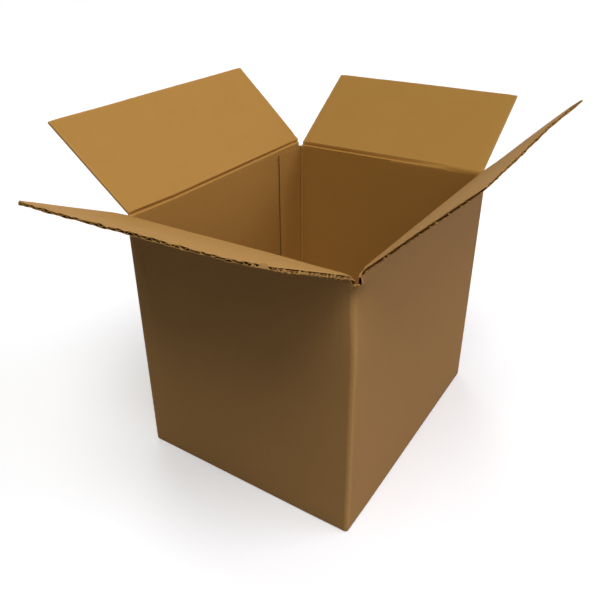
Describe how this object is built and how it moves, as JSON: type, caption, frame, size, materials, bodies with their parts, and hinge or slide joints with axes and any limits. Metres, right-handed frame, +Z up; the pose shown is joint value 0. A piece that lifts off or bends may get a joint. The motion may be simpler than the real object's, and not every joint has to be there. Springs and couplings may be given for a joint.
{
  "type": "open cardboard box",
  "caption": "Open shipping carton of single-wall corrugated board, with hinged top flaps folded outward and a closed, glued bottom.",
  "frame": {"origin": "centre of the box's base, on the surface that the box stands on", "axes": "+Z up, X along the short side, Y along the long side; -Y is the short wall that the picture shows on the left"},
  "size_m": [0.3881, 0.4683, 0.3306],
  "materials": {
    "kraft_board": "matte uncoated brown kraft liner with open corrugated edges"
  },
  "bodies": {
    "carton": {"box_body": "kraft_board"},
    "front_flap": {"front_flap": "kraft_board"},
    "back_flap": {"back_flap": "kraft_board"},
    "left_flap": {"left_flap": "kraft_board"},
    "right_flap": {"right_flap": "kraft_board"}
  },
  "joints": [
    {"name": "front_flap_fold", "type": "hinge", "parent": "carton", "child": "front_flap", "pos_m": [0, -0.13915, 0.2459], "axis": [1, 0, 0], "range_deg": [-154, 112]},
    {"name": "back_flap_fold", "type": "hinge", "parent": "carton", "child": "back_flap", "pos_m": [0, 0.13915, 0.2459], "axis": [-1, 0, 0], "range_deg": [-146, 120]},
    {"name": "left_flap_fold", "type": "hinge", "parent": "carton", "child": "left_flap", "pos_m": [-0.11315, 0, 0.25], "axis": [0, -1, 0], "range_deg": [-140, 126]},
    {"name": "right_flap_fold", "type": "hinge", "parent": "carton", "child": "right_flap", "pos_m": [0.11315, 0, 0.25], "axis": [0, 1, 0], "range_deg": [-135, 131]}
  ]
}
